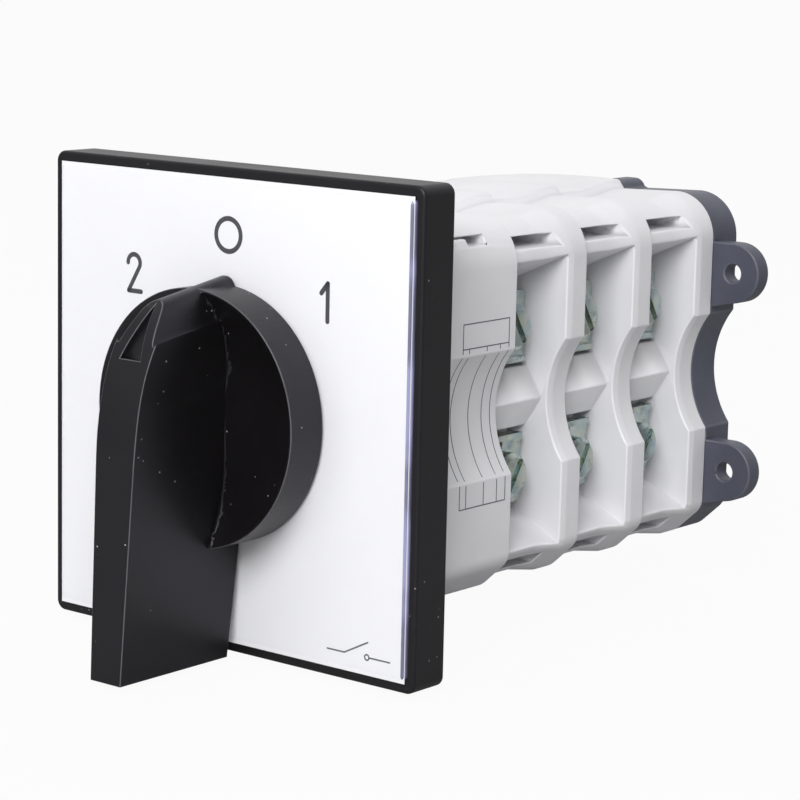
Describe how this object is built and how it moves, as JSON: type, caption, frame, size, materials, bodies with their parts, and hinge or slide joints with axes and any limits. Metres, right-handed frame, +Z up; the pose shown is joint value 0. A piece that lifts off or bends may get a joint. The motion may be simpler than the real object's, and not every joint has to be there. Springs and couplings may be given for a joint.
{
  "type": "manual transfer switch",
  "caption": "Rotary cam changeover switch with square front plate, bladed knob, stacked switching stages, side terminals and a rear plate with fixing ears.",
  "frame": {"origin": "centre of the rear mounting face, on the shaft's axis", "axes": "+Z up with the pointer at the middle position, the front plate and handle face -Y, the rear mounting face looks along +Y"},
  "size_m": [0.0942, 0.146, 0.09],
  "materials": {
    "black_plastic": "fine matt texture",
    "legend_white": "satin",
    "clear_cover": "clear polished plastic",
    "seal_rubber": "soft matt",
    "housing_grey": "satin moulded",
    "rear_slate": "satin moulded",
    "inner_plastic": "satin moulded",
    "contact_brass": "plain",
    "spring_steel": "plain",
    "zinc_steel": "bright zinc plate"
  },
  "bodies": {
    "housing": {"front_frame": "black_plastic", "legend_plate": "legend_white", "front_cover": "clear_cover", "panel_gasket": "seal_rubber", "shaft_seal": "seal_rubber", "frame_screws": "zinc_steel", "front_block": "housing_grey", "detent_cover": "inner_plastic", "rear_plate": "rear_slate", "tie_bolts": "zinc_steel", "tie_inserts": "contact_brass", "stage_1": "housing_grey", "fixed_contacts_1": "contact_brass", "clamp_plates_1": "zinc_steel", "terminal_screws_1": "zinc_steel", "stage_2": "housing_grey", "fixed_contacts_2": "contact_brass", "clamp_plates_2": "zinc_steel", "terminal_screws_2": "zinc_steel", "stage_3": "housing_grey", "fixed_contacts_3": "contact_brass", "clamp_plates_3": "zinc_steel", "terminal_screws_3": "zinc_steel"},
    "rotor": {"handle": "black_plastic", "handle_clip": "spring_steel", "shaft": "zinc_steel", "detent_wheel": "inner_plastic", "stop_disc": "zinc_steel", "cam_1": "inner_plastic", "cam_2": "inner_plastic", "cam_3": "inner_plastic"},
    "plunger_body_1_top": {"plunger_1_top": "inner_plastic", "bridge_1_top": "contact_brass", "return_spring_1_top": "spring_steel"},
    "plunger_body_1_bottom": {"plunger_1_bottom": "inner_plastic", "bridge_1_bottom": "contact_brass", "return_spring_1_bottom": "spring_steel"},
    "plunger_body_2_top": {"plunger_2_top": "inner_plastic", "bridge_2_top": "contact_brass", "return_spring_2_top": "spring_steel"},
    "plunger_body_2_bottom": {"plunger_2_bottom": "inner_plastic", "bridge_2_bottom": "contact_brass", "return_spring_2_bottom": "spring_steel"},
    "plunger_body_3_top": {"plunger_3_top": "inner_plastic", "bridge_3_top": "contact_brass", "return_spring_3_top": "spring_steel"},
    "plunger_body_3_bottom": {"plunger_3_bottom": "inner_plastic", "bridge_3_bottom": "contact_brass", "return_spring_3_bottom": "spring_steel"},
    "detent_body_top": {"detent_plunger_top": "inner_plastic", "detent_spring_top": "spring_steel"},
    "detent_body_bottom": {"detent_plunger_bottom": "inner_plastic", "detent_spring_bottom": "spring_steel"}
  },
  "joints": [
    {"name": "handle_turn", "type": "hinge", "parent": "housing", "child": "rotor", "pos_m": [0, 0, 0], "axis": [0, 1, 0], "range_deg": [-45, 45]},
    {"name": "plunger_slide_1_top", "type": "slide", "parent": "housing", "child": "plunger_body_1_top", "axis": [0, 0, 1], "range_m": [-0.00221, 0.00221], "deforming": ["return_spring_1_top"]},
    {"name": "plunger_slide_1_bottom", "type": "slide", "parent": "housing", "child": "plunger_body_1_bottom", "axis": [0, 0, 1], "range_m": [-0.00221, 0.00221], "deforming": ["return_spring_1_bottom"]},
    {"name": "plunger_slide_2_top", "type": "slide", "parent": "housing", "child": "plunger_body_2_top", "axis": [0, 0, 1], "range_m": [-0.00221, 0.00221], "deforming": ["return_spring_2_top"]},
    {"name": "plunger_slide_2_bottom", "type": "slide", "parent": "housing", "child": "plunger_body_2_bottom", "axis": [0, 0, 1], "range_m": [-0.00221, 0.00221], "deforming": ["return_spring_2_bottom"]},
    {"name": "plunger_slide_3_top", "type": "slide", "parent": "housing", "child": "plunger_body_3_top", "axis": [0, 0, 1], "range_m": [-0.00221, 0.00221], "deforming": ["return_spring_3_top"]},
    {"name": "plunger_slide_3_bottom", "type": "slide", "parent": "housing", "child": "plunger_body_3_bottom", "axis": [0, 0, 1], "range_m": [-0.00221, 0.00221], "deforming": ["return_spring_3_bottom"]},
    {"name": "detent_slide_top", "type": "slide", "parent": "housing", "child": "detent_body_top", "axis": [0, 0, 1], "range_m": [0, 0.0012], "stiffness_N_per_m": 500, "springref_m": -0.002, "deforming": ["detent_spring_top"]},
    {"name": "detent_slide_bottom", "type": "slide", "parent": "housing", "child": "detent_body_bottom", "axis": [0, 0, -1], "range_m": [0, 0.0012], "stiffness_N_per_m": 500, "springref_m": -0.002, "deforming": ["detent_spring_bottom"]}
  ],
  "couplings": [
    {"joint": "plunger_slide_1_top", "follows": "handle_turn", "m_per_rad": -0.0028011},
    {"joint": "plunger_slide_1_bottom", "follows": "handle_turn", "m_per_rad": -0.0028011},
    {"joint": "plunger_slide_2_top", "follows": "handle_turn", "m_per_rad": -0.0028011},
    {"joint": "plunger_slide_2_bottom", "follows": "handle_turn", "m_per_rad": -0.0028011},
    {"joint": "plunger_slide_3_top", "follows": "handle_turn", "m_per_rad": -0.0028011},
    {"joint": "plunger_slide_3_bottom", "follows": "handle_turn", "m_per_rad": -0.0028011}
  ]
}
